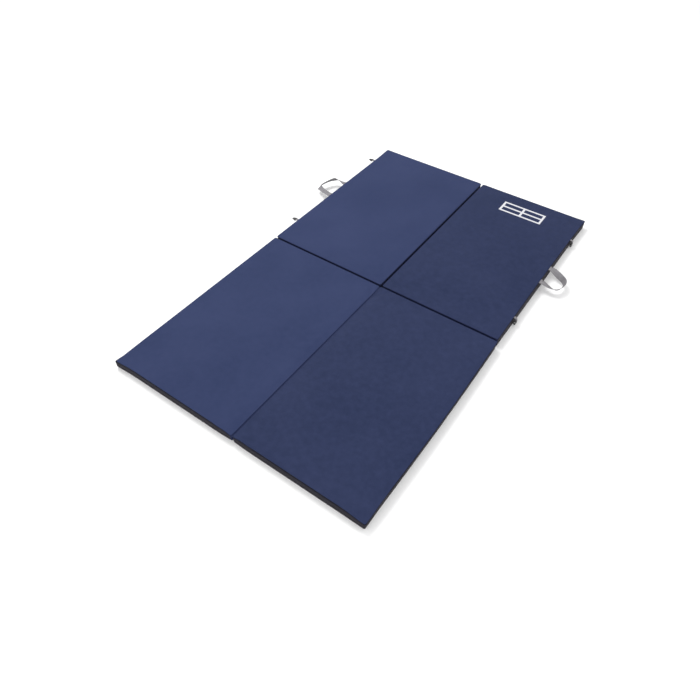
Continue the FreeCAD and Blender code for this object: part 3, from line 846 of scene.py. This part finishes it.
def make_web(side):
    """The narrow web of wall cloth that joins the bottoms of a near and a far panel."""
    node = f"hinge_strip_cross_{side}"
    low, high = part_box(node)
    near, far = PANELS["near", side], PANELS["far", side]
    middle = (near.y1 + far.y0) / 2
    half = (far.y0 - near.y1) / 2
    along = np.arange(low.x, high.x + 1e-6, 4 * MM)
    across = np.linspace(-1, 1, 7) * half
    gx, gy = np.meshgrid(along, across)
    points = np.stack([gx.ravel(), gy.ravel() + middle, np.zeros(gx.size)], -1)
    bow = 1 - (gy.ravel() / half) ** 2
    points[:, 2] = 0.9 * MM + bow * (0.7 * MM + noise_at(points, 50.0, 71) * 0.3 * MM)
    web = make_object(f"crease_web_{side}", points, grid_faces(len(along), len(across)), WALL)
    thick = web.modifiers.new("thick", "SOLIDIFY")
    thick.thickness = 0.5 * MM
    thick.offset = -1
    apply_modifiers(web)
    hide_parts(node)
    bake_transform(web)


for side in ("left", "right"):
    make_web(side)


# ---------------------------------------------------------------- webbing
def smooth_path(points, step):
    """Points about one step apart on a smooth curve through the given ones (centripetal Catmull-Rom)."""
    p = np.array(points, float)
    p = np.concatenate([[2 * p[0] - p[1]], p, [2 * p[-1] - p[-2]]])
    out = []
    for k in range(1, len(p) - 2):
        p0, p1, p2, p3 = p[k - 1:k + 3]
        count = max(3, int(np.linalg.norm((p2 - p1)[:3]) / step))
        for t in np.linspace(0, 1, count, endpoint=False):
            out.append(0.5 * (2 * p1 + (p2 - p0) * t + (2 * p0 - 5 * p1 + 4 * p2 - p3) * t ** 2
                              + (3 * p1 - p0 - 3 * p2 + p3) * t ** 3))
    out.append(p[-2])
    return np.array(out)


def make_ribbon(name, stations_, width, thickness, step=1.6 * MM, curl=0.0):
    """A flat strap through stations (x, y, z, then the direction of its width), with its own UVs in metres."""
    path = smooth_path(stations_, step)
    centre, wide = path[:, :3], path[:, 3:]
    tangent = np.gradient(centre, axis=0)
    tangent /= np.linalg.norm(tangent, axis=1, keepdims=True)
    wide = wide - tangent * (wide * tangent).sum(1, keepdims=True)
    wide /= np.linalg.norm(wide, axis=1, keepdims=True)
    normal = np.cross(tangent, wide)
    run = np.concatenate([[0], np.cumsum(np.linalg.norm(np.diff(centre, axis=0), axis=1))])
    half_w, half_t = width / 2, thickness / 2
    upper = [(x, 1.0) for x in (-0.94, -0.75, -0.5, -0.25, 0.0, 0.25, 0.5, 0.75, 0.94)]
    lower = [(x, -1.0) for x, _ in reversed(upper)]
    section = upper + [(1.0, 0.45), (1.0, -0.45)] + lower + [(-1.0, -0.45), (-1.0, 0.45)]
    count = len(section)
    vertices, uvs = [], []
    for k in range(len(centre)):
        for x, y in section:
            lift = y * half_t * (1 - 0.12 * abs(x)) + curl * x * x
            vertices.append(centre[k] + wide[k] * (x * half_w) + normal[k] * lift)
            uvs.append((run[k], x * half_w + (0.0 if y > 0 else 0.001)))
    faces = [list(f) for f in ring_faces(count, len(centre))]
    last = (len(centre) - 1) * count
    faces.append(list(range(count))[::-1])
    faces.append([last + k for k in range(count)])
    piece = make_object(name, vertices, faces, WEBBING, uvs)
    return piece, run[-1]


def outward(side):
    return -1.0 if side == "left" else 1.0


def place_near(side, middle_y, points):
    """Points given as (out from the wall, along, up, then the width's direction) in mm, as row-frame stations."""
    sign = outward(side)
    wall = PANELS["far", side].x0 if side == "left" else PANELS["far", side].x1
    return [
        (wall + sign * a * MM, middle_y + b * MM, z * MM, sign * wa, wb, wz)
        for a, b, z, wa, wb, wz in points
    ]


HANDLE_PATHS = {
    "left": [
        (2.4, -56.5, 35.5, 0, 1, 0),
        (10, -55.5, 35.2, -0.1, 1, 0),
        (32, -49.0, 33.4, -0.33, 0.94, 0),
        (58, -39.0, 30.5, -0.35, 0.93, 0.05),
        (78, -30.0, 28.0, -0.45, 0.80, 0.35),
        (87, -20.0, 27.3, -0.55, 0.30, 0.80),
        (88, -4.0, 27.8, -0.57, -0.10, 0.81),
        (83, 20.0, 29.2, -0.56, -0.12, 0.81),
        (74, 44.0, 30.8, -0.48, -0.25, 0.84),
        (63, 60.0, 32.0, -0.20, -0.45, 0.86),
        (47, 66.0, 33.2, 0.15, -0.75, 0.65),
        (26, 61.5, 34.5, 0.28, -0.84, 0.45),
        (9, 57.5, 35.3, 0.1, -0.97, 0.15),
        (2.4, 56.5, 35.5, 0, -1, 0),
    ],
    "right": [
        (2.4, -47.0, 35.5, 0, 1, 0),
        (12, -49.5, 34.6, 0, 0.99, -0.10),
        (32, -52.5, 30.6, 0, 0.94, -0.32),
        (49, -51.0, 27.2, -0.15, 0.82, -0.55),
        (63, -44.5, 25.2, -0.32, 0.58, -0.75),
        (73, -30.0, 24.3, -0.42, 0.25, -0.87),
        (77.5, -8.0, 24.0, -0.40, 0.05, -0.92),
        (76, 8.0, 24.8, -0.34, -0.10, -0.93),
        (66, 20.5, 26.2, -0.28, -0.35, -0.89),
        (50, 28.5, 28.4, -0.22, -0.60, -0.77),
        (30, 37.0, 31.6, -0.15, -0.85, -0.50),
        (12, 44.5, 34.6, -0.05, -0.98, -0.18),
        (2.4, 47.0, 35.5, 0, -1, 0),
    ],
}
SEAM_UP = PANELS["far", "left"].seam / MM
# How far out from the wall, in mm, each sewn end runs before the swinging strap takes over.
SEWN_END = (-5.5, -2.0, 2.2)

for side in ("left", "right"):
    low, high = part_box(f"handle_{side}")
    middle_y = (low.y + high.y) / 2
    stations_ = place_near(side, middle_y, HANDLE_PATHS[side])
    strap, _ = make_ribbon(f"handle_strap_{side}", stations_, 25 * MM, 1.5 * MM)
    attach(strap, f"handle_{side}")
    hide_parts(f"handle_{side}")
    half_span = HANDLE_PATHS[side][-1][1]
    for end, offset in (("near", -half_span), ("far", half_span)):
        stub_path = [(out, offset, SEAM_UP, 0, 1, 0) for out in SEWN_END]
        stub, _ = make_ribbon(f"sewn_end_{side}_{end}", place_near(side, middle_y, stub_path), 25.4 * MM, 1.7 * MM)
        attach(stub, f"panel_far_{side}")
        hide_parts(f"handle_{side}_sewn_end_{end}")


LOOP = 2.2
BAR_SPOTS = {"left": (11.5, SEAM_UP + 0.6 - 2.8), "right": (4.8, SEAM_UP - 9.5)}


def make_tab(side, end):
    """A short strap out of the seam, round the buckle's bar and back under itself, sewn down."""
    node = f"tab_{side}_{end}"
    low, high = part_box(node)
    middle_y = (low.y + high.y) / 2
    bar_out, bar_up = BAR_SPOTS[side]
    if side == "left":
        leading = [(-3.0, SEAM_UP), (1.5, SEAM_UP + 0.1), (6.0, bar_up + LOOP + 0.2)]
        turns = np.linspace(0, 200, 9)
        trailing = [(8.2, bar_up + 0.6), (5.0, bar_up + 0.8), (2.0, bar_up + 0.9)]
    else:
        leading = [(-4.0, SEAM_UP + 0.2), (1.5, SEAM_UP + 0.2), (4.6, SEAM_UP - 0.8), (6.4, SEAM_UP - 3.6)]
        turns = np.linspace(75, 270, 9)
        trailing = [(3.6, bar_up + 3.4), (4.2, bar_up + 5.4), (3.4, bar_up + 7.4)]
    loop = [(bar_out + LOOP * math.sin(t), bar_up + LOOP * math.cos(t)) for t in np.radians(turns)]
    path = [(out, 0.0, up, 0, 1, 0) for out, up in leading + loop + trailing]
    tab, _ = make_ribbon(f"tab_strap_{side}_{end}", place_near(side, middle_y, path), 10 * MM, 1.0 * MM, 0.6 * MM)
    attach(tab, f"panel_far_{side}")
    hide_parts(node)
    sign = outward(side)
    wall = PANELS["far", side].x0 if side == "left" else PANELS["far", side].x1
    if side == "left":
        rows = ((3.4, SEAM_UP + 0.75), (6.0, SEAM_UP + 0.45))
    else:
        rows = ((7.1, bar_up + 6.6), (7.6, bar_up + 4.2))
    starts, ends = [], []
    for out, up in rows:
        for k in range(4):
            y = middle_y + (-3.9 + 2.1 * k) * MM
            starts.append((wall + sign * out * MM, y, up * MM))
            ends.append((wall + sign * out * MM, y + 1.5 * MM, up * MM))
    sewing = stitches(f"tab_sewing_{side}_{end}", np.array(starts), np.array(ends), 0.20 * MM, GREY_THREAD)
    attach(sewing, f"panel_far_{side}")


def make_buckle(kind, side, end):
    """A buckle half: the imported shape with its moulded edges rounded."""
    node = f"buckle_{kind}_{side}_{end}"
    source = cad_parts[node]
    piece = bpy.data.objects.new(f"{kind}_{side}_{end}", source.data.copy())
    scene.collection.objects.link(piece)
    piece.data.materials.clear()
    piece.data.materials.append(PLASTIC)
    weld = piece.modifiers.new("weld", "WELD")
    weld.merge_threshold = 0.01 * MM
    apply_modifiers(piece)
    flat = piece.modifiers.new("flat", "DECIMATE")
    flat.decimate_type = "DISSOLVE"
    flat.angle_limit = math.radians(2)
    apply_modifiers(piece)
    bevel = piece.modifiers.new("bevel", "BEVEL")
    bevel.width = 0.45 * MM
    bevel.segments = 3
    bevel.limit_method = "ANGLE"
    bevel.angle_limit = math.radians(35)
    apply_modifiers(piece)
    piece.data.polygons.foreach_set("use_smooth", [True] * len(piece.data.polygons))
    piece.data.materials.clear()
    piece.data.materials.append(PLASTIC)
    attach(piece, node)
    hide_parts(node)


for end in ("near", "far"):
    for side in ("left", "right"):
        make_tab(side, end)
    make_buckle("plug", "left", end)
    make_buckle("socket", "right", end)


# ---------------------------------------------------------------- printed mark
def make_mark():
    """A plain drawing of a mat in four parts, printed on the cover and lying in its surface."""
    low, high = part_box("printed_mark")
    line = 9 * MM
    cover = covers["far", "right"]
    xs = np.unique(np.concatenate([
        np.arange(low.x, high.x, 3 * MM), [low.x, low.x + line, high.x - line, high.x],
        [(low.x + high.x - line) / 2, (low.x + high.x + line) / 2],
    ]).round(6))
    ys = np.unique(np.concatenate([
        np.arange(low.y, high.y, 3 * MM), [low.y, low.y + line, high.y - line, high.y],
        [(low.y + high.y - line) / 2, (low.y + high.y + line) / 2],
    ]).round(6))
    gx, gy = np.meshgrid(xs, ys)
    points = []
    for x, y in zip(gx.ravel(), gy.ravel()):
        hit, place, _, _ = cover.ray_cast(Vector((x, y, 0.1)), Vector((0, 0, -1)))
        points.append((x, y, (place.z if hit else 0.038) + 0.12 * MM))
    cx, cy = (xs[:-1] + xs[1:]) / 2, (ys[:-1] + ys[1:]) / 2

    def on_line(values, first, last):
        middle = (first + last) / 2
        return (values < first + line) | (values > last - line) | (np.abs(values - middle) < line / 2)

    keep = on_line(cy, low.y, high.y)[:, None] | on_line(cx, low.x, high.x)[None, :]
    faces = grid_faces(len(xs), len(ys))[keep.ravel()]
    used = np.unique(faces)
    renumber = np.full(gx.size, -1)
    renumber[used] = np.arange(len(used))
    mark = make_object("mat_drawing", np.array(points)[used], renumber[faces], INK)
    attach(mark, "panel_far_right")
    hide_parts("printed_mark")


make_mark()

# ---------------------------------------------------------------- floor
floor = make_object("floor", [(-9, -9, 0), (9, -9, 0), (9, 9, 0), (-9, 9, 0)], [(0, 1, 2, 3)], floor_paint())
floor.location.z = -0.3 * MM
